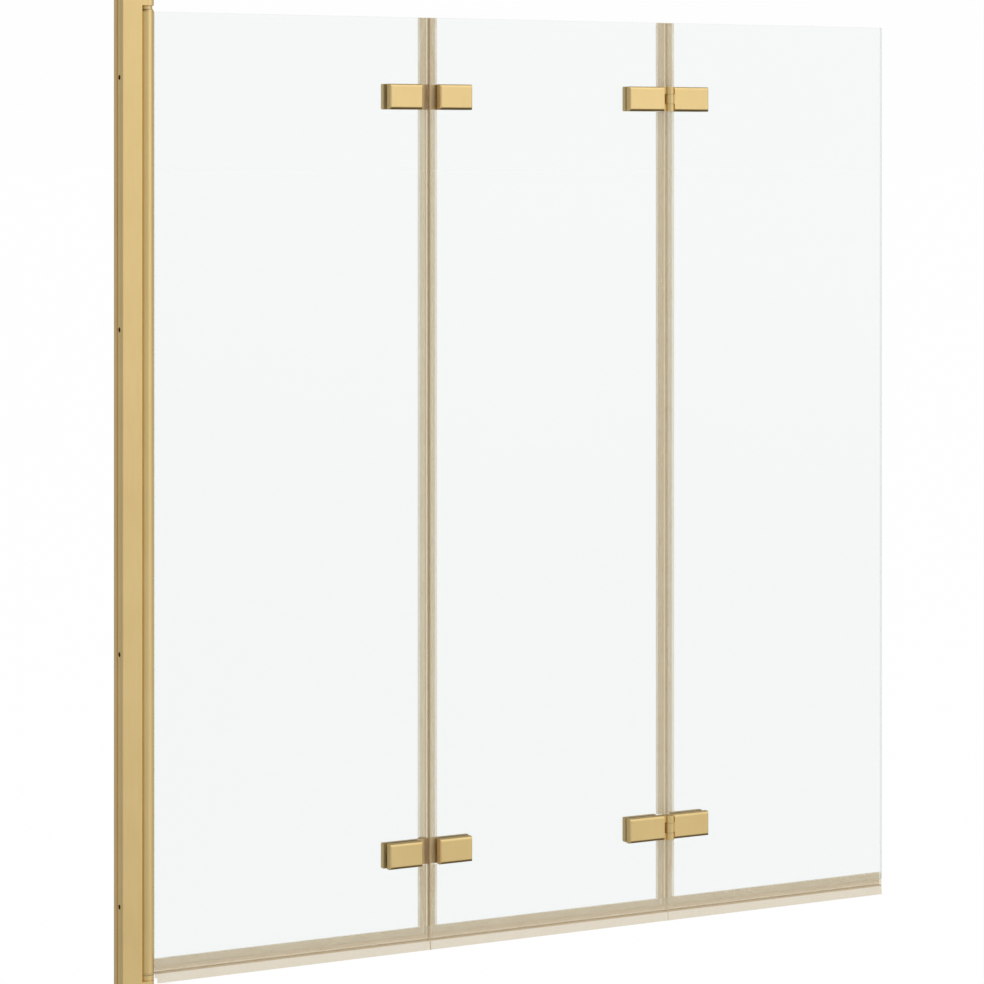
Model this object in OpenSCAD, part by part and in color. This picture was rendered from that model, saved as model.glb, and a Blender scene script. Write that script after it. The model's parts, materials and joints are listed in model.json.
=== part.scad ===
// Folding bath screen: a wall profile, a round pivot post and three glass panels
// that swing on the post and fold like a concertina at two hinge lines.
// X runs from the wall along the glass, Y from the front face to the back, Z up.
// The origin is on the wall, in the glass plane, at mid height.

/* [Overall] */
// Height of the wall profile above the bath rim
height = 1380; // [1000:10:1800]
// Distance from the wall to the first fold line
first_fold_x = 490; // [300:5:700]
// Width of the middle panel, fold line to fold line
panel_2_w = 410; // [250:5:600]
// Width of the last panel, fold line to free edge
panel_3_w = 401; // [200:0.5:600]

/* [Glass] */
// Thickness of the toughened glass
glass_t = 5; // [4:0.5:8]
// Height of the glass edge above the bath rim
glass_lift = 26; // [24:0.5:60]
// Distance from a fold line to the glass edge beside it
fold_gap = 3.5; // [2.5:0.5:6]
// Radius of the corners of the glass
glass_corner_r = 2.5; // [1:0.5:6]
// Radius of the holes for the clamp screws
glass_hole_r = 6; // [5:0.5:8]

/* [Wall profile] */
// Width of the wall channel along the glass
channel_w = 29.3; // [25:0.1:34]
// Depth of the wall channel, front to back
channel_d = 31; // [30:1:44]
// Wall thickness of the flanges
flange_t = 1.8; // [1.2:0.1:3]
// Thickness of the web against the wall
web_t = 2; // [1.5:0.1:4]
// Radius of the outer corners at the wall
wall_corner_r = 0.6; // [0.3:0.1:1.7]
// Distance from the glass plane forward to the line of the wall screw holes
wall_hole_y = 3.5; // [0:0.1:4]
// Depth of the sealant groove behind the wall screws
groove_depth = 1; // [0.2:0.1:1.2]
// Depth of the sealant groove in front of the wall screws
front_groove_depth = 0.3; // [0.2:0.1:1.2]
// Width of a sealant groove
groove_w = 4; // [2:0.5:5]
// Distance from the line of the screw holes to the middle of a groove
groove_y = 6.7; // [6.2:0.1:8]
// Radius of the wall screw holes
wall_hole_r = 3.5; // [2:0.1:4]
// Distance between the two outermost wall screw holes
outer_hole_span = 1150; // [600:10:1500]
// Distance between the two inner wall screw holes
inner_hole_span = 450; // [200:10:550]

/* [Pivot rail] */
// Gap between the rail and the channel flanges
rail_clear = 0.15; // [0.1:0.05:0.5]
// Distance from the wall to the back of the rail
rail_back_x = 5; // [3.5:0.5:7]
// Wall thickness of the rail
rail_wall = 1.6; // [1.2:0.1:2.2]
// How far the rail reaches past the channel towards the post
rail_proud = 1; // [0.5:0.5:3]
// Outer radius of the screw ports inside the rail
port_r = 2.8; // [2.4:0.1:3.2]

/* [Pivot post] */
// Distance from the wall to the pivot axis
pivot_x = 41.5; // [41:0.5:46]
// Outer radius of the post
post_r = 11.5; // [10.5:0.5:12]
// Wall thickness of the post
post_wall = 2; // [1.5:0.1:2.4]
// Gap between the post and the concave seat of the rail
seat_gap = 1.6; // [1:0.1:2]
// Thickness of the glazing gasket
gasket_t = 0.9; // [0.5:0.1:1.2]
// Distance from the pivot axis back to the glass edge in the post
glass_seat = 2.5; // [1:0.5:3]
// Wall thickness of the glazing pocket
pocket_wall = 1.6; // [1.2:0.1:2]
// Radius of the pivot stubs
stub_r = 4; // [3:0.5:5]
// Length of the pivot stubs
stub_len = 14; // [10:1:16]
// Thickness of the plates that close the post ends
plug_plate_t = 3.2; // [1.5:0.1:4]
// How far the plate on the top of the post tapers in
plug_taper = 1.2; // [0.5:0.1:3]
// Depth of the plug tongues inside the post
plug_tongue = 24; // [15:1:40]

/* [End caps and bushes] */
// Height of the upper end cap
upper_cap_h = 14.7; // [14:0.1:25]
// Height of the lower end cap
lower_cap_h = 9.8; // [9.5:0.1:14]
// How far the caps reach past the pivot axis
cap_nose = 9; // [8:0.5:12]
// Radius of the rounded nose corners of the caps
cap_nose_r = 10; // [4:0.5:12]
// Height of the collar under the upper cap
upper_collar_h = 4.8; // [4:0.1:15]
// Radius of the collar under the upper cap
upper_collar_r = 9.3; // [8:0.1:11]
// Height of the collar on the lower cap
lower_collar_h = 7; // [6:0.1:12]
// Radius of the bush spigots in the caps
spigot_r = 7; // [6:0.1:8]
// Length of the bush spigots
spigot_len = 6.8; // [5:0.1:7]

/* [Hinges] */
// Height of a hinge
hinge_h = 37; // [30:1:50]
// Distance from the glass top to the centre of the upper hinges
upper_hinge_drop = 115; // [60:1:300]
// Distance from the glass bottom to the centre of the lower hinges
lower_hinge_rise = 119; // [60:1:300]
// Distance from the fold line to the outer end of the leaves
leaf_out = 70.5; // [64:0.5:90]
// Distance from the fold line to the inner end of the leaves
leaf_in = 9; // [7:0.5:10]
// Thickness of the leaves
leaf_t = 10; // [7:0.5:11]
// Radius of the long outer edges of the leaves and covers
long_edge_r = 4.5; // [2:0.1:6]
// Radius of the edges at the ends of the leaves and covers
end_edge_r = 2.5; // [1:0.1:3.5]
// Distance from the fold line to the thin toe of a leaf, which reaches under the knuckles
toe_in = 1; // [0.8:0.1:3]
// Depth of the recess between a leaf and the knuckles of the other leaf
step_drop = 2.5; // [1:0.1:6]
// Distance from the fold line to the inner end of the covers
cover_in = 14.4; // [14.4:0.1:17]
// How much shorter the covers are than the leaves, at their outer end
cover_short = 2.2; // [0.5:0.1:4]
// Thickness of the covers
cover_t = 10; // [9:0.5:14]
// Wall thickness of the covers
cover_wall = 3.6; // [2.5:0.1:4]
// Radius of the knuckles
knuckle_r = 6; // [5:0.5:6.5]
// Height of the middle knuckle
mid_knuckle_h = 14; // [8:0.5:18]
// Thickness of the washers between the knuckles
washer_t = 0.5; // [0.3:0.1:1]
// Radius of the hinge pins
pin_r = 3; // [2:0.5:4]
// Thickness of the gaskets between glass and metal
pad_t = 1; // [0.5:0.1:1.5]
// Thickness of the clamp plates under the covers
clamp_plate_t = 3; // [2:0.1:4]
// Distance from the fold line to the inner clamp screw
inner_screw_x = 28; // [26:1:32]
// Distance from the fold line to the outer clamp screw
outer_screw_x = 53; // [46:1:56]
// Radius of the clamp screws
clamp_screw_r = 2.5; // [1.5:0.1:3]
// Radius of the clamp screw heads
clamp_head_r = 4.6; // [4:0.1:5.2]
// Depth of the clamp screws in the leaves
clamp_thread = 5.5; // [3:0.1:6]

/* [Seals] */
// Thickness of the seal walls on the glass
seal_t = 0.9; // [0.5:0.1:1]
// Grip of the side seals on the glass
side_grip = 10.7; // [6:0.1:10.7]
// Grip of the bottom seals on the glass
bottom_grip = 10.7; // [6:0.1:15]
// Radius of the outer corners of the side seals at the fold
bulb_r = 2.3; // [1.2:0.1:2.4]
// Distance from the free edge of the glass to the end of its bottom seal
seal_end_gap = 1.5; // [0:0.5:8]
// Height of the hollow chamber under the glass
chamber_h = 9; // [6:0.5:14]
// Height of the tip of the drip lip above the bath rim
lip_clear = 3; // [1:0.1:8]
// Thickness of the drip lip
lip_t = 1.2; // [0.8:0.1:2]
// How far the tip of the drip lip leans to the front
lip_lean = 1.5; // [0:0.5:5]

/* [Fasteners] */
// Radius of the rail and cap screws
small_screw_r = 1.9; // [1.4:0.1:2]
// Radius of the heads of the rail and cap screws
small_head_r = 3.6; // [3.2:0.1:4]
// Height of the pan heads of the rail screws
pan_head_h = 2.2; // [1.5:0.1:3]
// Length of the rail screws
rail_screw_len = 10; // [6:0.5:14]
// Length of the cap screws
cap_screw_len = 28; // [24:1:40]
// Distance from the wall to the rail screws
rail_screw_x = 19; // [17:0.5:21]
// Distance between the rail screws
rail_screw_pitch = 450; // [200:10:550]

/* [Clearances] */
// Gap between pieces that move past each other
move_gap = 0.3; // [0.2:0.05:0.5]
// Radial clearance of the pivot stubs and the hinge pins
run_clear = 0.05; // [0.02:0.01:0.09]
// Radial clearance of the spigots and tongues in their holes
fit_clear = 0.05; // [0.02:0.01:0.1]
// Radial clearance of screws in plain holes
screw_clear = 0.25; // [0.1:0.05:0.5]
// Gap between the seals of neighbouring panels
seal_gap = 0.4; // [0.3:0.1:1]

/* [Hidden] */
$fn = 64;

gold = "#D9BE84";
gold_dark = "#B08F55";
steel = "#B9BCC0";
clear_pvc = "#D8CBB0";
clear_glass = "#E6F1EE";
bronze = "#A98A52";
dark_rubber = "#5A5346";

// Places along the glass
fold_1_x = first_fold_x;
fold_2_x = fold_1_x + panel_2_w;
free_edge_x = fold_2_x + panel_3_w;
glass_1_x = pivot_x - glass_seat;

// Heights above the bath rim
upper_cap_z = height - upper_cap_h;
post_top_z = upper_cap_z - upper_collar_h - move_gap;
post_bottom_z = lower_cap_h + lower_collar_h + move_gap;
glass_top_z = post_top_z - plug_plate_t;
glass_bottom_z = glass_lift;
tube_bottom_z = post_bottom_z + plug_plate_t;
upper_hinge_z = glass_top_z - upper_hinge_drop;
lower_hinge_z = glass_bottom_z + lower_hinge_rise;
chamber_z = glass_bottom_z - chamber_h;
bottom_seal_top_z = glass_bottom_z + bottom_grip;

// Wall profile and rail
channel_half = channel_d / 2;
channel_inner_half = channel_half - flange_t;
rail_half = channel_inner_half - rail_clear;
rail_tip_x = channel_w + rail_proud;
rail_inner_half = rail_half - rail_wall;
seat_r = post_r + seat_gap;
port_inset = port_r - 0.4;
port_x = rail_back_x + rail_wall + port_inset;
port_y = rail_inner_half - port_inset;
port_bore_r = small_screw_r + fit_clear;
strip_inner_y = 3.5;
strip_w = 3;

// Post and pivots
pocket_half = glass_t / 2 + gasket_t;
pocket_floor = glass_seat + gasket_t;
web_back = pocket_floor + pocket_wall;
gasket_proud = 0.6;
cap_reach = pivot_x + cap_nose;
bush_bore_r = stub_r + run_clear;
stub_room = max(fit_clear, stub_len - spigot_len - upper_collar_h - move_gap + 1);
bottom_seal_1_x = pivot_x + post_r + gasket_proud + move_gap;

// The drip lip is cut back round the pivot, to pass the nose and the front face of the lower cap
seal_half = glass_t / 2 + seal_t;
nose_sweep_r = norm([cap_nose_r - cap_nose, channel_half - cap_nose_r]) + cap_nose_r + move_gap;
face_sweep_r = norm([seal_half + lip_lean, channel_half + move_gap]);
lip_notch_r = max(nose_sweep_r, face_sweep_r);

// Hinges, seen from the glass plane outwards on the side of the knuckles
pad_face = glass_t / 2 + pad_t;
leaf_face = pad_face + leaf_t;
knuckle_y = leaf_face + move_gap;
inner_edge_r = 0.5;
toe_face = knuckle_y - knuckle_r - 0.5;
clamp_face = pad_face + clamp_plate_t;
cover_face = pad_face + cover_t;
axial_gap = 0.1;
knuckle_slot = mid_knuckle_h + 2 * washer_t + 2 * axial_gap;
pin_recess = 0.5;
pin_bore_r = pin_r + run_clear;
pad_inset = 0.4;
leaf_pad_in = fold_gap + side_grip + 0.5;
plate_clear = 0.2;
glass_collar_r = glass_hole_r - 0.1;
cover_end = leaf_out - cover_short;

// Moves a piece from bath rim height to the origin at mid height
module on_wall() {
    translate([0, 0, -height / 2])
        children();
}

// Countersunk screw: head flush at z = 0, shank downwards
module countersunk_screw(shank_r, head_r, length) {
    cone_h = head_r - shank_r;
    difference() {
        union() {
            translate([0, 0, -cone_h])
                cylinder(h = cone_h, r1 = shank_r, r2 = head_r);
            translate([0, 0, -length])
                cylinder(h = length - cone_h, r = shank_r);
        }
        translate([0, 0, -cone_h * 0.8])
            cylinder(h = cone_h, r = shank_r * 0.65, $fn = 6);
    }
}

// Countersunk hole: mouth at z = 0, hole downwards
module countersunk_hole(hole_r, head_r, depth) {
    cone_h = head_r - hole_r;
    translate([0, 0, -cone_h])
        cylinder(h = cone_h + 0.01, r1 = hole_r, r2 = head_r + 0.01);
    translate([0, 0, -depth])
        cylinder(h = depth, r = hole_r);
}

// ---- Wall profile ----

module wall_hole_places() {
    for (span = [outer_hole_span, inner_hole_span])
        for (side = [-1, 1])
            translate([0, -wall_hole_y, height / 2 + side * span / 2])
                children();
}

module rail_screw_places() {
    for (step = [-1 : 1])
        translate([rail_screw_x, channel_half, height / 2 + step * rail_screw_pitch])
            children();
}

module channel_plan() {
    difference() {
        union() {
            translate([wall_corner_r, -channel_half])
                square([channel_w - wall_corner_r, channel_d]);
            translate([0, -channel_half + wall_corner_r])
                square([channel_w / 2, channel_d - 2 * wall_corner_r]);
            for (side = [-1, 1])
                translate([wall_corner_r, side * (channel_half - wall_corner_r)])
                    circle(wall_corner_r);
        }
        translate([web_t, -channel_inner_half])
            square([channel_w, 2 * channel_inner_half]);
        translate([-groove_depth, groove_y - wall_hole_y - groove_w / 2])
            square([2 * groove_depth, groove_w]);
        translate([-front_groove_depth, -groove_y - wall_hole_y - groove_w / 2])
            square([2 * front_groove_depth, groove_w]);
    }
}

module wall_channel() {
    color(gold)
    on_wall()
    difference() {
        linear_extrude(height)
            channel_plan();
        wall_hole_places()
            translate([-1, 0, 0])
                rotate([0, 90, 0])
                    cylinder(h = web_t + 2, r = wall_hole_r);
        rail_screw_places()
            translate([0, 1, 0])
                rotate([90, 0, 0])
                    cylinder(h = flange_t + 2, r = small_screw_r + screw_clear);
    }
}

module port_places() {
    for (side = [-1, 1])
        translate([port_x, side * port_y])
            children();
}

module rail_plan() {
    difference() {
        translate([rail_back_x, -rail_half])
            square([rail_tip_x - rail_back_x, 2 * rail_half]);
        translate([pivot_x, 0])
            circle(seat_r);
        difference() {
            translate([rail_back_x + rail_wall, -rail_inner_half])
                square([rail_tip_x - rail_back_x - 2 * rail_wall, 2 * rail_inner_half]);
            translate([pivot_x, 0])
                circle(seat_r + rail_wall);
            port_places()
                circle(port_r);
        }
        port_places()
            circle(port_bore_r);
    }
}

module pivot_rail() {
    color(gold)
    on_wall()
    difference() {
        translate([0, 0, lower_cap_h])
            linear_extrude(upper_cap_z - lower_cap_h)
                rail_plan();
        rail_screw_places()
            rotate([90, 0, 0])
                cylinder(h = channel_half - rail_inner_half + 1, r = small_screw_r + fit_clear);
    }
}

// Two soft strips in the seat of the rail, just clear of the post
module pile_strips() {
    color(dark_rubber)
    on_wall()
    translate([pivot_x, 0, lower_cap_h + lower_collar_h])
        linear_extrude(upper_cap_z - upper_collar_h - lower_cap_h - lower_collar_h)
            for (side = [-1, 1])
                intersection() {
                    difference() {
                        circle(seat_r - fit_clear);
                        circle(post_r + move_gap);
                    }
                    translate([-seat_r, side * (strip_inner_y + strip_w / 2) - strip_w / 2])
                        square([seat_r, strip_w]);
                }
}

module rail_screws() {
    color(steel)
    on_wall()
    rail_screw_places()
        rotate([90, 0, 0])
            difference() {
                union() {
                    cylinder(h = rail_screw_len, r = small_screw_r);
                    translate([0, 0, -pan_head_h])
                        cylinder(h = pan_head_h, r1 = small_head_r * 0.8, r2 = small_head_r);
                }
                translate([0, 0, -pan_head_h - 0.2])
                    cylinder(h = pan_head_h, r = small_screw_r * 0.7, $fn = 6);
            }
}

// ---- End caps, bushes and their screws ----

// Head in front of the channel, and a tongue inside it that covers the end of the rail
module cap_plan() {
    head_w = cap_reach - channel_w;
    translate([channel_w, -channel_half])
        square([head_w - cap_nose_r, channel_d]);
    translate([channel_w, -channel_half + cap_nose_r])
        square([head_w, channel_d - 2 * cap_nose_r]);
    for (side = [-1, 1])
        translate([cap_reach - cap_nose_r, side * (channel_half - cap_nose_r)])
            circle(cap_nose_r);
    translate([web_t + rail_clear, -rail_half])
        square([channel_w - web_t, 2 * rail_half]);
}

module upper_end_cap() {
    color(gold)
    on_wall()
    difference() {
        translate([0, 0, upper_cap_z])
            linear_extrude(upper_cap_h)
                cap_plan();
        translate([pivot_x, 0, upper_cap_z - 1])
            cylinder(h = spigot_len + 1 + stub_room, r = spigot_r + fit_clear);
        translate([0, 0, height])
            port_places()
                countersunk_hole(small_screw_r + screw_clear, small_head_r + screw_clear, upper_cap_h + 1);
    }
}

module lower_end_cap() {
    color(gold)
    on_wall()
    difference() {
        linear_extrude(lower_cap_h)
            cap_plan();
        translate([pivot_x, 0, lower_cap_h - spigot_len - fit_clear])
            cylinder(h = spigot_len + 1, r = spigot_r + fit_clear);
        port_places()
            mirror([0, 0, 1])
                countersunk_hole(small_screw_r + screw_clear, small_head_r + screw_clear, lower_cap_h + 1);
    }
}

module cap_screws() {
    color(steel)
    on_wall()
    port_places() {
        translate([0, 0, height])
            countersunk_screw(small_screw_r, small_head_r, cap_screw_len);
        mirror([0, 0, 1])
            countersunk_screw(small_screw_r, small_head_r, cap_screw_len);
    }
}

module upper_pivot_bush() {
    color(gold)
    on_wall()
    translate([pivot_x, 0, upper_cap_z])
        difference() {
            union() {
                translate([0, 0, -upper_collar_h])
                    cylinder(h = upper_collar_h, r = upper_collar_r);
                cylinder(h = spigot_len, r = spigot_r);
            }
            translate([0, 0, -upper_collar_h - 1])
                cylinder(h = upper_collar_h + spigot_len + 2, r = bush_bore_r);
        }
}

module lower_pivot_bush() {
    color(gold)
    on_wall()
    translate([pivot_x, 0, lower_cap_h])
        difference() {
            union() {
                cylinder(h = lower_collar_h, r = post_r);
                translate([0, 0, -spigot_len])
                    cylinder(h = spigot_len, r = spigot_r);
            }
            translate([0, 0, -spigot_len - 1])
                cylinder(h = lower_collar_h + spigot_len + 2, r = bush_bore_r);
        }
}

// ---- Post on the first panel ----

module post_plan() {
    difference() {
        circle(post_r);
        difference() {
            circle(post_r - post_wall);
            translate([-web_back, -pocket_half - pocket_wall])
                square([web_back + post_r, 2 * (pocket_half + pocket_wall)]);
        }
        translate([-pocket_floor, -pocket_half])
            square([pocket_floor + post_r + 1, 2 * pocket_half]);
    }
}

module pivot_post() {
    color(gold)
    on_wall()
    translate([pivot_x, 0, tube_bottom_z])
        linear_extrude(glass_top_z - tube_bottom_z)
            post_plan();
}

// End plate, stub and tongue; the stub points up
module pivot_plug(taper) {
    cylinder(h = plug_plate_t, r1 = post_r, r2 = post_r - taper);
    cylinder(h = plug_plate_t + stub_len, r = stub_r);
    translate([0, 0, -plug_tongue])
        linear_extrude(plug_tongue)
            intersection() {
                circle(post_r - post_wall - fit_clear);
                translate([-post_r, -post_r])
                    square([post_r - web_back - fit_clear, 2 * post_r]);
            }
}

module upper_pivot_plug() {
    color(gold_dark)
    on_wall()
    translate([pivot_x, 0, glass_top_z])
        pivot_plug(plug_taper);
}

module lower_pivot_plug() {
    color(gold_dark)
    on_wall()
    translate([pivot_x, 0, tube_bottom_z])
        mirror([0, 0, 1])
            pivot_plug(0);
}

module glazing_gasket() {
    color(clear_pvc)
    on_wall()
    translate([pivot_x, 0, glass_bottom_z])
        linear_extrude(glass_top_z - glass_bottom_z)
            difference() {
                translate([-pocket_floor, -pocket_half])
                    square([pocket_floor + post_r + gasket_proud, 2 * pocket_half]);
                translate([-glass_seat, -glass_t / 2])
                    square([glass_seat + 2 * post_r, glass_t]);
            }
}

// ---- Glass ----

// A pane from x_start to x_end, with holes beside the fold lines listed
module pane(x_start, x_end, fold_places) {
    pane_w = x_end - x_start;
    pane_h = glass_top_z - glass_bottom_z;
    inset = glass_corner_r;
    translate([0, glass_t / 2, 0])
    rotate([90, 0, 0])
        linear_extrude(glass_t)
            difference() {
                union() {
                    translate([x_start + inset, glass_bottom_z])
                        square([pane_w - 2 * inset, pane_h]);
                    translate([x_start, glass_bottom_z + inset])
                        square([pane_w, pane_h - 2 * inset]);
                    for (x = [x_start + inset, x_end - inset])
                        for (z = [glass_bottom_z + inset, glass_top_z - inset])
                            translate([x, z])
                                circle(inset);
                }
                for (place = fold_places)
                    for (x = [inner_screw_x, outer_screw_x])
                        for (z = [lower_hinge_z, upper_hinge_z])
                            translate([place[0] + place[1] * x, z])
                                circle(glass_hole_r);
            }
}

module glass_panel_1() {
    color(clear_glass, 0.35)
    on_wall()
        pane(glass_1_x, fold_1_x - fold_gap, [[fold_1_x, -1]]);
}

module glass_panel_2() {
    color(clear_glass, 0.35)
    on_wall()
        pane(fold_1_x + fold_gap, fold_2_x - fold_gap, [[fold_1_x, 1], [fold_2_x, -1]]);
}

module glass_panel_3() {
    color(clear_glass, 0.35)
    on_wall()
        pane(fold_2_x + fold_gap, free_edge_x, [[fold_2_x, 1]]);
}

// ---- Seals ----

// Outline of a side seal: a channel on the glass edge and a hollow bulb
module side_seal_plan() {
    bulb_x = seal_gap / 2;
    hollow_w = fold_gap - bulb_x - 2 * seal_t;
    hollow_r = bulb_r - seal_t;
    difference() {
        union() {
            translate([bulb_x + bulb_r, -seal_half])
                square([fold_gap + side_grip - bulb_x - bulb_r, 2 * seal_half]);
            translate([bulb_x, -seal_half + bulb_r])
                square([bulb_r, 2 * (seal_half - bulb_r)]);
            for (side = [-1, 1])
                translate([bulb_x + bulb_r, side * (seal_half - bulb_r)])
                    circle(bulb_r);
        }
        translate([fold_gap, -glass_t / 2])
            square([side_grip + 1, glass_t]);
        translate([bulb_x + seal_t, -seal_half + bulb_r])
            square([hollow_w, 2 * (seal_half - bulb_r)]);
        for (side = [-1, 1])
            intersection() {
                translate([bulb_x + bulb_r, side * (seal_half - bulb_r)])
                    circle(hollow_r);
                translate([bulb_x + seal_t, -seal_half])
                    square([hollow_w, 2 * seal_half]);
            }
    }
}

// Side seal on the far side of a fold line; its grips are notched for the hinges
module side_seal() {
    notch_h = hinge_h + 2 * move_gap;
    color(clear_pvc)
    difference() {
        translate([0, 0, bottom_seal_top_z + move_gap])
            linear_extrude(glass_top_z - bottom_seal_top_z - move_gap)
                side_seal_plan();
        for (z = [lower_hinge_z, upper_hinge_z])
            translate([fold_gap, -seal_half - 1, z - notch_h / 2])
                cube([side_grip + 1, 2 * seal_half + 2, notch_h]);
    }
}

module side_seal_1() {
    on_wall()
    translate([fold_1_x, 0, 0])
        mirror([1, 0, 0])
            side_seal();
}

module side_seal_2a() {
    on_wall()
    translate([fold_1_x, 0, 0])
        side_seal();
}

module side_seal_2b() {
    on_wall()
    translate([fold_2_x, 0, 0])
        mirror([1, 0, 0])
            side_seal();
}

module side_seal_3() {
    on_wall()
    translate([fold_2_x, 0, 0])
        side_seal();
}

// Outline of the bottom seal, front to back and upwards
module bottom_seal_plan() {
    difference() {
        union() {
            translate([-seal_half, chamber_z])
                square([2 * seal_half, bottom_seal_top_z - chamber_z]);
            polygon([
                [-seal_half + lip_t, chamber_z + 0.01],
                [-seal_half, chamber_z + 0.01],
                [-seal_half - lip_lean, lip_clear],
                [-seal_half - lip_lean + lip_t, lip_clear]
            ]);
        }
        translate([-glass_t / 2, glass_bottom_z])
            square([glass_t, bottom_grip + 1]);
        translate([-seal_half + seal_t, chamber_z + seal_t])
            square([2 * (seal_half - seal_t), chamber_h - 2 * seal_t]);
    }
}

module bottom_seal(x_start, x_end) {
    color(clear_pvc)
    translate([x_start, 0, 0])
        rotate([90, 0, 90])
            linear_extrude(x_end - x_start)
                bottom_seal_plan();
}

// The first seal is cut back beside the lower cap, which it swings past
module bottom_seal_1() {
    on_wall()
    difference() {
        bottom_seal(bottom_seal_1_x, fold_1_x - seal_gap / 2);
        translate([pivot_x, 0, -1])
            cylinder(h = 1 + lower_cap_h + move_gap, r = lip_notch_r);
    }
}

module bottom_seal_2() {
    on_wall()
        bottom_seal(fold_1_x + seal_gap / 2, fold_2_x - seal_gap / 2);
}

module bottom_seal_3() {
    on_wall()
        bottom_seal(fold_2_x + seal_gap / 2, free_edge_x - seal_end_gap);
}

// ---- Hinges ----

// Places the parts of a hinge; the knuckles are at the back of fold 1 and the front of fold 2
module hinge_1(z) {
    translate([fold_1_x, 0, z])
        children();
}

module hinge_2(z) {
    translate([fold_2_x, 0, z])
        mirror([0, 1, 0])
            children();
}

module near_side() {
    mirror([1, 0, 0])
        children();
}

module screw_places() {
    for (x = [inner_screw_x, outer_screw_x])
        translate([x, 0, 0])
            children();
}

// Outline from low to high and from back to face, rounded at its two corners on the face
module block_outline(low, high, back, face, low_r, high_r) {
    translate([low + low_r, back])
        square([high - low - low_r - high_r, face - back]);
    translate([low, back])
        square([low_r + 1, face - back - low_r]);
    translate([high - high_r - 1, back])
        square([high_r + 1, face - back - high_r]);
    translate([low + low_r, face - low_r])
        circle(low_r);
    translate([high - high_r, face - high_r])
        circle(high_r);
}

// Block with rounded outer edges; its outer face is at y = face
module rounded_block(x_in, x_out, face, thickness, inner_r) {
    back = face - thickness;
    half = hinge_h / 2;
    intersection() {
        translate([0, 0, -half])
            linear_extrude(hinge_h)
                block_outline(x_in, x_out, back, face, inner_r, end_edge_r);
        translate([x_out, 0, 0])
            rotate([0, -90, 0])
                linear_extrude(x_out - x_in)
                    block_outline(-half, half, back, face, long_edge_r, long_edge_r);
    }
}

// Leaf with its toe, which reaches between the glass and the knuckles, and a step beside them
module leaf_block() {
    step_in = knuckle_r + 2 * move_gap;
    rounded_block(leaf_in, leaf_out, leaf_face, leaf_t, inner_edge_r);
    translate([toe_in, pad_face, -hinge_h / 2])
        cube([leaf_in + inner_edge_r - toe_in, toe_face - pad_face, hinge_h]);
    translate([step_in, pad_face, -hinge_h / 2])
        cube([leaf_in + inner_edge_r - step_in, leaf_face - step_drop - pad_face, hinge_h]);
}

// A knuckle with the arm that joins it to its leaf and toe
module knuckle(z_low, knuckle_h) {
    arm_end = leaf_in + inner_edge_r;
    arm_face = leaf_face - inner_edge_r;
    translate([0, knuckle_y, z_low])
        cylinder(h = knuckle_h, r = knuckle_r);
    translate([0, knuckle_y - knuckle_r, z_low])
        cube([arm_end, arm_face - knuckle_y + knuckle_r, knuckle_h]);
    translate([toe_in, pad_face, z_low])
        cube([arm_end - toe_in, arm_face - pad_face, knuckle_h]);
}

module pin_hole(radius) {
    translate([0, knuckle_y, -hinge_h])
        cylinder(h = 2 * hinge_h, r = radius);
}

module leaf_screw_holes() {
    screw_places()
        translate([0, pad_face - 1, 0])
            rotate([-90, 0, 0])
                cylinder(h = clamp_thread + 1.3, r = clamp_screw_r + fit_clear);
}

// Leaf with the two outer knuckles, which hold the pin
module outer_leaf() {
    arm_h = (hinge_h - knuckle_slot) / 2;
    color(gold)
    difference() {
        union() {
            leaf_block();
            knuckle(-hinge_h / 2, arm_h);
            knuckle(hinge_h / 2 - arm_h, arm_h);
        }
        pin_hole(pin_r);
        leaf_screw_holes();
    }
}

// Leaf with the middle knuckle, which turns on the pin
module inner_leaf() {
    color(gold)
    difference() {
        union() {
            leaf_block();
            knuckle(-mid_knuckle_h / 2, mid_knuckle_h);
        }
        pin_hole(pin_bore_r);
        leaf_screw_holes();
    }
}

module hinge_pin() {
    color(steel)
    translate([0, knuckle_y, -hinge_h / 2 + pin_recess])
        cylinder(h = hinge_h - 2 * pin_recess, r = pin_r);
}

module hinge_washers() {
    color(bronze)
    for (z = [-knuckle_slot / 2, knuckle_slot / 2 - washer_t])
        translate([0, knuckle_y, z])
            difference() {
                cylinder(h = washer_t, r = knuckle_r);
                translate([0, 0, -1])
                    cylinder(h = washer_t + 2, r = pin_bore_r);
            }
}

// Hollow cover over the clamp plate, on the side away from the knuckles
module hinge_cover() {
    cavity_depth = clamp_plate_t + 2 * plate_clear;
    color(gold)
    mirror([0, 1, 0])
        difference() {
            rounded_block(cover_in, cover_end, cover_face, cover_t, end_edge_r);
            translate([cover_in + cover_wall, pad_face - 1, -hinge_h / 2 + cover_wall])
                cube([
                    cover_end - cover_in - 2 * cover_wall,
                    cavity_depth + 1,
                    hinge_h - 2 * cover_wall
                ]);
        }
}

module clamp_plate() {
    edge = cover_wall + plate_clear;
    color(steel)
    mirror([0, 1, 0])
        difference() {
            translate([cover_in + edge, pad_face, -hinge_h / 2 + edge])
                cube([cover_end - cover_in - 2 * edge, clamp_plate_t, hinge_h - 2 * edge]);
            screw_places()
                translate([0, clamp_face, 0])
                    rotate([-90, 0, 0])
                        countersunk_hole(
                            clamp_screw_r + screw_clear,
                            clamp_head_r + screw_clear,
                            clamp_plate_t + 1
                        );
        }
}

module clamp_screw_pair() {
    color(steel)
    screw_places()
        translate([0, -clamp_face, 0])
            rotate([90, 0, 0])
                countersunk_screw(clamp_screw_r, clamp_head_r, clamp_face + pad_face + clamp_thread);
}

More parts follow.
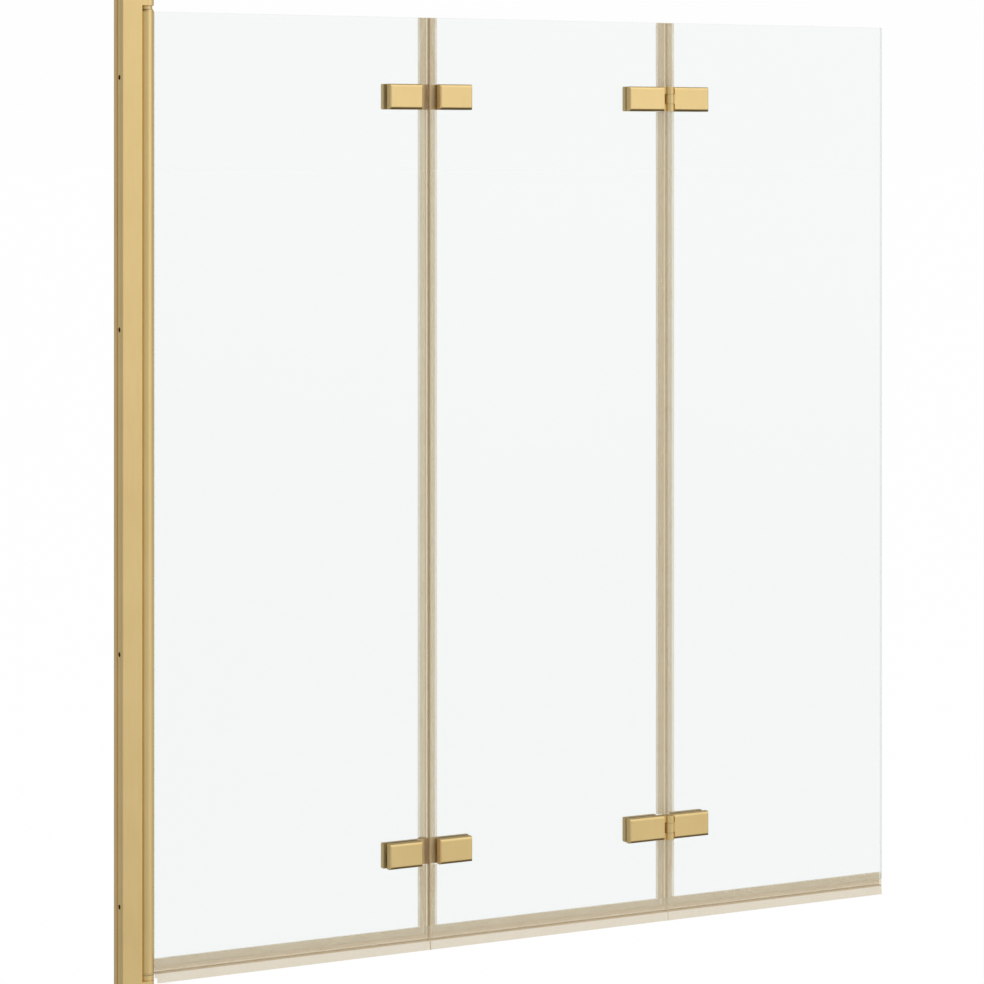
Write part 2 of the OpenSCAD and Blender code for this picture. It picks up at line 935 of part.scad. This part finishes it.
// Two flat gaskets; the one under the leaf has collars that line the holes in the glass
module gasket_pair() {
    color(dark_rubber)
    difference() {
        union() {
            translate([leaf_pad_in, glass_t / 2, -hinge_h / 2 + pad_inset])
                cube([leaf_out - pad_inset - leaf_pad_in, pad_t, hinge_h - 2 * pad_inset]);
            translate([cover_in + pad_inset, -pad_face, -hinge_h / 2 + pad_inset])
                cube([cover_end - cover_in - 2 * pad_inset, pad_t, hinge_h - 2 * pad_inset]);
            screw_places()
                translate([0, glass_t / 2 + pad_t / 2, 0])
                    rotate([90, 0, 0])
                        cylinder(h = glass_t + pad_t / 2 - plate_clear, r = glass_collar_r);
        }
        screw_places()
            translate([0, pad_face + 1, 0])
                rotate([90, 0, 0])
                    cylinder(h = 2 * pad_face + 2, r = clamp_screw_r + screw_clear);
    }
}

module hinge_1_upper_near_leaf() on_wall() hinge_1(upper_hinge_z) near_side() outer_leaf();
module hinge_1_upper_far_leaf() on_wall() hinge_1(upper_hinge_z) inner_leaf();
module hinge_1_upper_near_cover() on_wall() hinge_1(upper_hinge_z) near_side() hinge_cover();
module hinge_1_upper_far_cover() on_wall() hinge_1(upper_hinge_z) hinge_cover();
module hinge_1_upper_pin() on_wall() hinge_1(upper_hinge_z) hinge_pin();
module hinge_1_lower_near_leaf() on_wall() hinge_1(lower_hinge_z) near_side() outer_leaf();
module hinge_1_lower_far_leaf() on_wall() hinge_1(lower_hinge_z) inner_leaf();
module hinge_1_lower_near_cover() on_wall() hinge_1(lower_hinge_z) near_side() hinge_cover();
module hinge_1_lower_far_cover() on_wall() hinge_1(lower_hinge_z) hinge_cover();
module hinge_1_lower_pin() on_wall() hinge_1(lower_hinge_z) hinge_pin();

module hinge_2_upper_near_leaf() on_wall() hinge_2(upper_hinge_z) near_side() outer_leaf();
module hinge_2_upper_far_leaf() on_wall() hinge_2(upper_hinge_z) inner_leaf();
module hinge_2_upper_near_cover() on_wall() hinge_2(upper_hinge_z) near_side() hinge_cover();
module hinge_2_upper_far_cover() on_wall() hinge_2(upper_hinge_z) hinge_cover();
module hinge_2_upper_pin() on_wall() hinge_2(upper_hinge_z) hinge_pin();
module hinge_2_lower_near_leaf() on_wall() hinge_2(lower_hinge_z) near_side() outer_leaf();
module hinge_2_lower_far_leaf() on_wall() hinge_2(lower_hinge_z) inner_leaf();
module hinge_2_lower_near_cover() on_wall() hinge_2(lower_hinge_z) near_side() hinge_cover();
module hinge_2_lower_far_cover() on_wall() hinge_2(lower_hinge_z) hinge_cover();
module hinge_2_lower_pin() on_wall() hinge_2(lower_hinge_z) hinge_pin();

// Small parts of both hinges on one fold line
module at_both_hinges_1() {
    on_wall()
    for (z = [lower_hinge_z, upper_hinge_z])
        hinge_1(z)
            children();
}

module at_both_hinges_2() {
    on_wall()
    for (z = [lower_hinge_z, upper_hinge_z])
        hinge_2(z)
            children();
}

module hinge_1_near_gaskets() at_both_hinges_1() near_side() gasket_pair();
module hinge_1_far_gaskets() at_both_hinges_1() gasket_pair();
module hinge_2_near_gaskets() at_both_hinges_2() near_side() gasket_pair();
module hinge_2_far_gaskets() at_both_hinges_2() gasket_pair();
module hinge_1_near_clamp_plates() at_both_hinges_1() near_side() clamp_plate();
module hinge_1_far_clamp_plates() at_both_hinges_1() clamp_plate();
module hinge_2_near_clamp_plates() at_both_hinges_2() near_side() clamp_plate();
module hinge_2_far_clamp_plates() at_both_hinges_2() clamp_plate();
module hinge_1_near_clamp_screws() at_both_hinges_1() near_side() clamp_screw_pair();
module hinge_1_far_clamp_screws() at_both_hinges_1() clamp_screw_pair();
module hinge_2_near_clamp_screws() at_both_hinges_2() near_side() clamp_screw_pair();
module hinge_2_far_clamp_screws() at_both_hinges_2() clamp_screw_pair();
module hinge_1_washers() at_both_hinges_1() hinge_washers();
module hinge_2_washers() at_both_hinges_2() hinge_washers();

wall_channel();
pivot_rail();
pile_strips();
rail_screws();
cap_screws();
upper_end_cap();
lower_end_cap();
upper_pivot_bush();
lower_pivot_bush();
pivot_post();
upper_pivot_plug();
lower_pivot_plug();
glazing_gasket();
glass_panel_1();
bottom_seal_1();
side_seal_1();
glass_panel_2();
bottom_seal_2();
side_seal_2a();
side_seal_2b();
glass_panel_3();
bottom_seal_3();
side_seal_3();
hinge_1_upper_near_leaf();
hinge_1_upper_far_leaf();
hinge_1_upper_near_cover();
hinge_1_upper_far_cover();
hinge_1_upper_pin();
hinge_1_lower_near_leaf();
hinge_1_lower_far_leaf();
hinge_1_lower_near_cover();
hinge_1_lower_far_cover();
hinge_1_lower_pin();
hinge_2_upper_near_leaf();
hinge_2_upper_far_leaf();
hinge_2_upper_near_cover();
hinge_2_upper_far_cover();
hinge_2_upper_pin();
hinge_2_lower_near_leaf();
hinge_2_lower_far_leaf();
hinge_2_lower_near_cover();
hinge_2_lower_far_cover();
hinge_2_lower_pin();
hinge_1_near_gaskets();
hinge_1_far_gaskets();
hinge_2_near_gaskets();
hinge_2_far_gaskets();
hinge_1_near_clamp_plates();
hinge_1_far_clamp_plates();
hinge_2_near_clamp_plates();
hinge_2_far_clamp_plates();
hinge_1_near_clamp_screws();
hinge_1_far_clamp_screws();
hinge_2_near_clamp_screws();
hinge_2_far_clamp_screws();
hinge_1_washers();
hinge_2_washers();
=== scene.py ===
"""The looks of the folding bath screen: finishes, edges, light, floor and camera.

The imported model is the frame: every solid stays where it is. Metres, X from the wall
along the glass, Y from the front face to the back, Z up, origin on the wall at mid height.
"""

import json
import math

import bpy
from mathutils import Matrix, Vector


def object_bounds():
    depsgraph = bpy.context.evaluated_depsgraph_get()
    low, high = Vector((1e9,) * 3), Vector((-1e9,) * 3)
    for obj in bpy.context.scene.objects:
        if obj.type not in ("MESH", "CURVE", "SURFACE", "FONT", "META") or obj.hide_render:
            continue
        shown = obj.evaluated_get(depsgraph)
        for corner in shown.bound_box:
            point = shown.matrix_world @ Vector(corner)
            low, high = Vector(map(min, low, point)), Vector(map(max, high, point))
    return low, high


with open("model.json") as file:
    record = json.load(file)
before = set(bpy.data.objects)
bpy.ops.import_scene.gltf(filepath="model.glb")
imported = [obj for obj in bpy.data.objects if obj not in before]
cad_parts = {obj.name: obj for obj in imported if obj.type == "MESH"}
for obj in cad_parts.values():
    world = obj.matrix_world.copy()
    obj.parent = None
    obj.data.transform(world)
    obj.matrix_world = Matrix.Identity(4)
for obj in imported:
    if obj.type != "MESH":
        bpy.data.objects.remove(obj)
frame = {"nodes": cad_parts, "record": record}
cad_low, cad_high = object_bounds()
nodes = frame["nodes"]

# ---- Driving values ----

# The photograph is PHOTO pixels wide and high. Its horizon is at HORIZON_ROW, and the
# camera looks level, TURN degrees to the right of straight at the glass.
PHOTO = 984
FOCAL_PIXELS = 3669.3
HORIZON_ROW = 158.4
TURN = 30.02
CAMERA_PLACE = (-2.0970, -4.6649, 0.4627)
SENSOR = 36.0

# The bath rim is the lower end of the wall profile, and the floor is a bath's height below it.
BATH_HEIGHT = 0.55
FLOOR_SIDE = 900.0

# The floor's own white and its share in what the camera sees of it, and the white above the
# horizon, which together make an even background
FLOOR_WHITE = 1.025
FLOOR_SHARE = 0.85
WORLD_WHITE = 0.991

# The light around the object for matt pieces, and the room that its metal mirrors, from straight
# down (0) over the horizon (0.5) to straight up (1). From left (0) to right (1) the room gains by
# SIDE_GAINS, and behind the glass it is dimmer by the shares of BEHIND_DROPS, again by height.
AMBIENT = 0.90
ROOM_LEVELS = (
    (0.00, (0.08, 0.07, 0.06)),
    (0.20, (0.12, 0.11, 0.10)),
    (0.30, (0.40, 0.39, 0.38)),
    (0.36, (0.86, 0.86, 0.86)),
    (0.42, (0.87, 0.87, 0.87)),
    (0.48, (0.70, 0.70, 0.70)),
    (0.55, (0.68, 0.68, 0.68)),
    (1.00, (0.60, 0.60, 0.60)),
)
BEHIND_DROPS = (
    (0.00, 0.38),
    (0.40, 0.37),
    (0.43, 0.33),
    (0.47, 0.23),
    (0.52, 0.05),
    (0.65, 0.62),
    (1.00, 0.62),
)
SIDE_GAINS = (
    (0.00, 1.00),
    (0.60, 1.00),
    (0.80, 1.31),
    (0.88, 1.15),
    (1.00, 0.90),
)

# Heights above the bath rim between which the seals get a painted shade line, where the chamber
# meets the lip, and a lighter line just above it; how dark the walls are drawn that lie against
# the left edges of the second and the third glass, partly for their real depth of seal seen
# edge-on and partly as painted shade in the groove between two seals; how far those walls lie
# inside the seal;
# and the distances from there over which they fade
SHADE_LINE = (0.0157, 0.0176)
LIGHTER_LINE = (0.0184, 0.0200)
WALL_DEPTH_AND_SHADE = (("side_seal_2a", 0.45), ("side_seal_3", 0.15))
WALL_INSET = 0.00285
WALL_FADE = (0.0006, 0.0010)


def linear(red, green, blue):
    """An sRGB colour of 0 to 255 as the linear colour that a shader takes."""
    def one(value):
        value /= 255
        return value / 12.92 if value <= 0.04045 else ((value + 0.055) / 1.055) ** 2.4
    return (one(red), one(green), one(blue), 1.0)


# The paler colour painted on the inner faces of the hinges as painted light, which lifts the shade
# deep between the covers, and how far these faces lie at most from the fold line and from the
# plane of the glass
INNER_REACH = 0.0150
INNER_DEPTH = 0.0125
INNER_PAINTED_LIGHT = linear(255, 228, 178)


# ---- Camera ----

def make_camera():
    data = bpy.data.cameras.new("camera")
    data.sensor_fit = "HORIZONTAL"
    data.sensor_width = SENSOR
    data.lens = SENSOR * FOCAL_PIXELS / PHOTO
    data.shift_y = (HORIZON_ROW - PHOTO / 2) / PHOTO
    camera = bpy.data.objects.new("camera", data)
    camera.location = CAMERA_PLACE
    camera.rotation_euler = (math.radians(90), 0, math.radians(-TURN))
    bpy.context.scene.collection.objects.link(camera)
    bpy.context.scene.camera = camera


# ---- Node helpers ----

class Tree:
    """A node tree with short calls for the nodes that the materials use."""

    def __init__(self, tree):
        self.tree = tree
        tree.nodes.clear()

    def add(self, kind, **settings):
        node = self.tree.nodes.new(kind)
        for name, value in settings.items():
            setattr(node, name, value)
        return node

    def link(self, source, target):
        self.tree.links.new(source, target)

    def maths(self, operation, first, second):
        node = self.add("ShaderNodeMath", operation=operation, use_clamp=True)
        for socket, value in zip(node.inputs, (first, second)):
            if isinstance(value, (int, float)):
                socket.default_value = value
            else:
                self.link(value, socket)
        return node.outputs[0]

    def noise(self, scale, stretch=(1, 1, 1), detail=3.0, roughness=0.5):
        place = self.add("ShaderNodeTexCoord")
        mapping = self.add("ShaderNodeMapping")
        mapping.inputs["Scale"].default_value = stretch
        texture = self.add("ShaderNodeTexNoise")
        texture.inputs["Scale"].default_value = scale
        texture.inputs["Detail"].default_value = detail
        texture.inputs["Roughness"].default_value = roughness
        self.link(place.outputs["Object"], mapping.inputs["Vector"])
        self.link(mapping.outputs["Vector"], texture.inputs["Vector"])
        return texture.outputs["Fac"]

    def spread(self, value, low, high, start=0.3, end=0.7):
        """Maps start..end, by default the middle of a noise value, to low..high."""
        node = self.add("ShaderNodeMapRange")
        limits = {"From Min": start, "From Max": end, "To Min": low, "To Max": high}
        for name, number in limits.items():
            node.inputs[name].default_value = number
        self.link(value, node.inputs["Value"])
        return node.outputs["Result"]

    def offset(self, value, amount):
        node = self.add("ShaderNodeMath", operation="ADD")
        node.inputs[1].default_value = amount
        self.link(value, node.inputs[0])
        return node.outputs[0]

    def axis(self, source, letter):
        """One coordinate of a Texture Coordinate output."""
        place = self.add("ShaderNodeTexCoord")
        split = self.add("ShaderNodeSeparateXYZ")
        self.link(place.outputs[source], split.inputs["Vector"])
        return split.outputs[letter]

    def ramp(self, direction, stops):
        """Greys or colours by one coordinate of a direction, from -1 at stop 0 to 1 at stop 1."""
        node = self.add("ShaderNodeValToRGB")
        self.link(self.spread(direction, 0.0, 1.0, -1.0, 1.0), node.inputs["Fac"])
        elements = node.color_ramp.elements
        elements.remove(elements[1])
        for index, (position, level) in enumerate(stops):
            element = elements.new(position) if index else elements[0]
            element.position = position
            element.color = (*level, 1) if isinstance(level, tuple) else (level, level, level, 1)
        return node.outputs["Color"]

    def mix(self, factor, first, second):
        """Mixes two shaders; a factor of 0 gives the first."""
        node = self.add("ShaderNodeMixShader")
        self.link(factor, node.inputs["Fac"])
        self.link(first, node.inputs[1])
        self.link(second, node.inputs[2])
        return node.outputs["Shader"]

    def seen(self):
        """Two switches: 1 for camera and see-through rays, and 1 for mirrored rays."""
        rays = self.add("ShaderNodeLightPath").outputs
        through = self.maths("MAXIMUM", rays["Is Camera Ray"], rays["Is Transmission Ray"])
        return through, rays["Is Glossy Ray"]

    def near(self, source, letter, middle):
        """The distance of one coordinate from a middle value."""
        return self.maths("ABSOLUTE", self.offset(self.axis(source, letter), -middle), 0.0)

    def tones(self, value, first, second):
        """Mixes two colours, each a constant or a socket, by a value from 0 to 1."""
        node = self.add("ShaderNodeMix", data_type="RGBA")
        colours = [socket for socket in node.inputs if socket.type == "RGBA"]
        for socket, colour in zip(colours, (first, second)):
            if isinstance(colour, tuple):
                socket.default_value = colour
            else:
                self.link(colour, socket)
        self.link(value, node.inputs["Factor"])
        return node.outputs[2]

    def bump(self, value, height, strength=1.0):
        node = self.add("ShaderNodeBump")
        node.inputs["Strength"].default_value = strength
        node.inputs["Distance"].default_value = height
        self.link(value, node.inputs["Height"])
        return node.outputs["Normal"]

    def surface(self, shader):
        output = self.add("ShaderNodeOutputMaterial")
        self.link(shader, output.inputs["Surface"])


def principled(tree, **values):
    shader = tree.add("ShaderNodeBsdfPrincipled")
    for name, value in values.items():
        shader.inputs[name.replace("_", " ")].default_value = value
    return shader


def material(name):
    made = bpy.data.materials.new(name)
    made.use_nodes = True
    return made, Tree(made.node_tree)


# ---- Materials ----

def inner_faces(tree):
    """1 on the upright faces deep in a hinge, between its covers and beside its knuckles, which
    are rougher and get a paler colour as painted light against their shade.
    """
    beside = []
    for left, right in (("side_seal_1", "side_seal_2a"), ("side_seal_2b", "side_seal_3")):
        low = max(corner[0] for corner in nodes[left].bound_box)
        high = min(corner[0] for corner in nodes[right].bound_box)
        away = tree.near("Object", "X", (low + high) / 2)
        beside.append(tree.maths("LESS_THAN", away, INNER_REACH))
    upright = tree.maths("LESS_THAN", tree.near("Normal", "Z", 0), 0.5)
    deep = tree.maths("LESS_THAN", tree.near("Object", "Y", 0), INNER_DEPTH)
    inside = tree.maths("MULTIPLY", upright, deep)
    return tree.maths("MULTIPLY", tree.maths("MAXIMUM", *beside), inside)


def satin_metal(name, colour, shade, grain_stretch, rough_low, rough_high):
    """Anodised metal with a fine brushed grain and a faint cloudiness; matt inner faces deep in
    the hinges, painted paler as painted light against their shade.
    """
    made, tree = material(name)
    shader = principled(tree, Metallic=1.0)
    cloud = tree.noise(9.0, detail=2.0)
    grain = tree.noise(900.0, grain_stretch, detail=4.0, roughness=0.6)
    inner = inner_faces(tree)
    outside = tree.tones(tree.spread(cloud, 0.0, 1.0), colour, shade)
    # Painted light: the inner faces deep in the hinges get a paler colour, which lifts the shade
    # there
    tree.link(tree.tones(inner, outside, INNER_PAINTED_LIGHT), shader.inputs["Base Color"])
    rough = tree.spread(grain, rough_low, rough_high)
    rough = tree.maths("ADD", rough, tree.maths("MULTIPLY", inner, 0.28))
    tree.link(rough, shader.inputs["Roughness"])
    tree.link(tree.bump(grain, 0.00004, 0.35), shader.inputs["Normal"])
    tree.surface(shader.outputs["BSDF"])
    return made


def clear_glass():
    """Clear float glass: thin polished faces that light passes straight through, ground edges."""
    made, tree = material("clear_glass")
    ripple = tree.noise(2.5, detail=1.0)
    tints = (0.962, 0.976, 0.971, 1), (0.966, 0.979, 0.974, 1)
    tint = tree.tones(tree.spread(ripple, 0.0, 1.0), *tints)
    clear = tree.add("ShaderNodeBsdfTransparent")
    tree.link(tint, clear.inputs["Color"])
    mirror = tree.add("ShaderNodeBsdfGlossy")
    tree.link(tree.spread(ripple, 0.23, 0.27), mirror.inputs["Roughness"])
    tree.link(tree.bump(ripple, 0.0002, 0.2), mirror.inputs["Normal"])
    facing = tree.add("ShaderNodeLayerWeight")
    grazing = tree.maths("POWER", facing.outputs["Facing"], 5.0)
    sheen = tree.spread(grazing, 0.04, 0.10, 0.0, 1.0)
    faces = tree.mix(sheen, clear.outputs["BSDF"], mirror.outputs["BSDF"])

    ground = tree.noise(1500.0, detail=2.0)
    edge = principled(tree, Base_Color=linear(214, 222, 218))
    tree.link(tree.spread(ground, 0.30, 0.50), edge.inputs["Roughness"])
    tree.link(tree.spread(ground, 0.38, 0.46), edge.inputs["Alpha"])
    tree.link(tree.bump(ground, 0.00002, 0.4), edge.inputs["Normal"])
    is_edge = tree.maths("LESS_THAN", tree.near("Normal", "Y", 0), 0.9)
    tree.surface(tree.mix(is_edge, faces, edge.outputs["BSDF"]))
    return made


def line_at_height(tree, levels, strength):
    """A level line between two heights above the bath rim: its strength inside, 0 outside."""
    low, high = (cad_low.z + level for level in levels)
    middle, half = (low + high) / 2, (high - low) / 2
    away = tree.near("Object", "Z", middle)
    return tree.spread(away, strength, 0.0, half * 0.6, half * 1.4)


def clear_pvc():
    """Soft translucent seal, tinted a warm beige, with fine drawn lines along its long walls, a
    painted shade line low down and darker walls at each fold, and a lighter line above the low
    one.
    """
    made, tree = material("clear_pvc")
    skin = principled(tree, IOR=1.5)
    cloud = tree.noise(30.0, detail=2.0)
    lines = tree.noise(500.0, (1, 1, 0.03), detail=2.0)
    colour = tree.tones(tree.spread(cloud, 0.0, 1.0), linear(190, 169, 135), linear(194, 173, 139))
    tree.link(colour, skin.inputs["Base Color"])
    tree.link(tree.spread(lines, 0.28, 0.38), skin.inputs["Roughness"])
    tree.link(tree.bump(lines, 0.00003, 0.3), skin.inputs["Normal"])
    through = tree.add("ShaderNodeBsdfTransparent")
    through.inputs["Color"].default_value = (0.99, 0.975, 0.925, 1)

    wall = tree.spread(cloud, 0.25, 0.28)
    sideways = tree.spread(tree.near("Normal", "X", 0), 1.0, 0.32, 0.5, 0.9)
    wall = tree.maths("MULTIPLY", wall, sideways)
    # A lighter line just above the painted shade line, where less skin is mixed in
    lighter = line_at_height(tree, LIGHTER_LINE, 0.35)
    wall = tree.maths("MULTIPLY", wall, tree.maths("SUBTRACT", 1.0, lighter))
    # Painted shade: a darker line where the chamber meets the lip, and darker walls at the folds,
    # partly their real depth of seal seen edge-on and partly painted shade in the groove between
    # two seals
    painted_shade_and_depth = line_at_height(tree, SHADE_LINE, 0.53)
    for name, depth_and_shade in WALL_DEPTH_AND_SHADE:
        place = min(corner[0] for corner in nodes[name].bound_box) + WALL_INSET
        wall_depth_and_shade = tree.spread(tree.near("Object", "X", place), depth_and_shade, 0.0, *WALL_FADE)
        painted_shade_and_depth = tree.maths("MAXIMUM", painted_shade_and_depth, wall_depth_and_shade)
    share = tree.maths("ADD", wall, painted_shade_and_depth)
    tree.surface(tree.mix(share, through.outputs["BSDF"], skin.outputs["BSDF"]))
    return made


def plain_solid(name, dark, pale, rough_low, rough_high, scale, metallic=0.0):
    """A matt piece with a fine mottle in colour, roughness and height."""
    made, tree = material(name)
    shader = principled(tree, Metallic=metallic)
    mottle = tree.noise(scale, detail=3.0)
    tree.link(tree.tones(tree.spread(mottle, 0.0, 1.0), dark, pale), shader.inputs["Base Color"])
    tree.link(tree.spread(mottle, rough_low, rough_high), shader.inputs["Roughness"])
    tree.link(tree.bump(mottle, 0.00003, 0.4), shader.inputs["Normal"])
    tree.surface(shader.outputs["BSDF"])
    return made


def make_materials():
    """One material per slot of the record."""
    gold = linear(227, 200, 142), linear(222, 195, 136)
    zinc = linear(222, 194, 138), linear(216, 188, 131)
    steel = (0.55, 0.55, 0.56, 1), (0.62, 0.62, 0.63, 1)
    rubber = linear(150, 123, 72), linear(162, 135, 82)
    bronze = linear(168, 138, 82), linear(178, 148, 92)
    return {
        "satin_gold": satin_metal("satin_gold", *gold, (1, 1, 0.02), 0.30, 0.42),
        "cast_zinc": satin_metal("cast_zinc", *zinc, (1, 1, 1), 0.40, 0.50),
        "stainless_steel": plain_solid("stainless_steel", *steel, 0.25, 0.35, 700.0, 1.0),
        "clear_glass": clear_glass(),
        "clear_pvc": clear_pvc(),
        "dark_rubber": plain_solid("dark_rubber", *rubber, 0.6, 0.75, 900.0),
        "bronze": plain_solid("bronze", *bronze, 0.35, 0.45, 800.0, 1.0),
    }


# ---- Edges ----

def soften(node, width, segments=3):
    """Rounds the sharp edges of a solid by a small radius."""
    weld = node.modifiers.new("weld", "WELD")
    weld.merge_threshold = 2e-6
    flat = node.modifiers.new("flat", "DECIMATE")
    flat.decimate_type = "DISSOLVE"
    flat.angle_limit = math.radians(0.5)
    bevel = node.modifiers.new("edge", "BEVEL")
    bevel.width = width
    bevel.segments = segments
    bevel.limit_method = "ANGLE"
    bevel.angle_limit = math.radians(24)
    shading = node.modifiers.new("shading", "WEIGHTED_NORMAL")
    shading.keep_sharp = True


# ---- Stage ----

def make_floor():
    """A matt floor that keeps the shadow, and looks white to the camera and through the glass."""
    half = FLOOR_SIDE / 2
    height = cad_low.z - BATH_HEIGHT
    mesh = bpy.data.meshes.new("floor")
    corners = [(x * half, y * half, height) for x, y in ((-1, -1), (1, -1), (1, 1), (-1, 1))]
    mesh.from_pydata(corners, [], [(0, 1, 2, 3)])
    floor = bpy.data.objects.new("floor", mesh)
    bpy.context.scene.collection.objects.link(floor)
    made, tree = material("pale_floor")
    matt = tree.add("ShaderNodeBsdfDiffuse")
    matt.inputs["Color"].default_value = (0.9, 0.9, 0.9, 1)
    white = tree.add("ShaderNodeEmission")
    white.inputs["Color"].default_value = (1, 1, 1, 1)
    white.inputs["Strength"].default_value = FLOOR_WHITE
    through, glossy = tree.seen()
    share = tree.maths("MULTIPLY", tree.maths("MAXIMUM", through, glossy), FLOOR_SHARE)
    tree.surface(tree.mix(share, matt.outputs["BSDF"], white.outputs["Emission"]))
    mesh.materials.append(made)
    floor.visible_glossy = False


def make_world():
    """White all round; mirrored rays meet a room that is dimmer below and behind the glass."""
    world = bpy.data.worlds.new("studio")
    world.use_nodes = True
    bpy.context.scene.world = world
    tree = Tree(world.node_tree)
    levels = tree.ramp(tree.axis("Generated", "Z"), ROOM_LEVELS)
    gains = tree.ramp(tree.axis("Generated", "X"), SIDE_GAINS)
    drop = tree.ramp(tree.axis("Generated", "Z"), BEHIND_DROPS)
    backwards = tree.spread(tree.axis("Generated", "Y"), 0.0, 1.0, 0.0, 0.5)
    behind = tree.maths("MULTIPLY", backwards, drop)
    level = tree.add("ShaderNodeMath", operation="MULTIPLY")
    tree.link(tree.maths("SUBTRACT", 1.0, behind), level.inputs[0])
    tree.link(gains, level.inputs[1])

    def backdrop(strength):
        shader = tree.add("ShaderNodeBackground")
        shader.inputs["Color"].default_value = (1, 1, 1, 1)
        shader.inputs["Strength"].default_value = strength
        return shader

    mirrored = backdrop(1.0)
    tree.link(levels, mirrored.inputs["Color"])
    tree.link(level.outputs[0], mirrored.inputs["Strength"])
    through, glossy = tree.seen()
    around, white = backdrop(AMBIENT), backdrop(WORLD_WHITE)
    shown = tree.mix(glossy, around.outputs["Background"], mirrored.outputs["Background"])
    shown = tree.mix(through, shown, white.outputs["Background"])
    output = tree.add("ShaderNodeOutputWorld")
    tree.link(shown, output.inputs["Surface"])


def make_lamp(name, place, target, width, height, radiance):
    data = bpy.data.lights.new(name, "AREA")
    data.shape = "RECTANGLE"
    data.size = width
    data.size_y = height
    data.energy = math.pi * width * height * radiance
    lamp = bpy.data.objects.new(name, data)
    lamp.location = place
    aim = Vector(target) - Vector(place)
    lamp.rotation_euler = aim.to_track_quat("-Z", "Y").to_euler()
    bpy.context.scene.collection.objects.link(lamp)


def make_lamps():
    middle = (cad_low + cad_high) / 2
    make_lamp("front_softbox", (2.95, -3.55, 1.1), middle, 3.2, 2.7, 0.38)
    make_lamp("top_softbox", (2.0, -1.6, 2.5), middle, 2.8, 2.4, 0.65)


# ---- Assembly of the scene ----

make_camera()
finishes = make_materials()
for part in frame["record"]["subparts"]:
    node = nodes[part["node"]]
    node.data.materials.clear()
    node.data.materials.append(finishes[part["material_slot"]])

for name, node in nodes.items():
    if name.endswith(("_cover", "_leaf", "_end_cap", "_plug", "_post")):
        soften(node, 0.0003)
    elif name in ("wall_channel", "pivot_rail"):
        soften(node, 0.0004)

make_floor()
make_world()
make_lamps()

scene = bpy.context.scene
scene.view_settings.view_transform = "Standard"
scene.cycles.max_bounces = 24
scene.cycles.transmission_bounces = 20
scene.cycles.transparent_max_bounces = 32
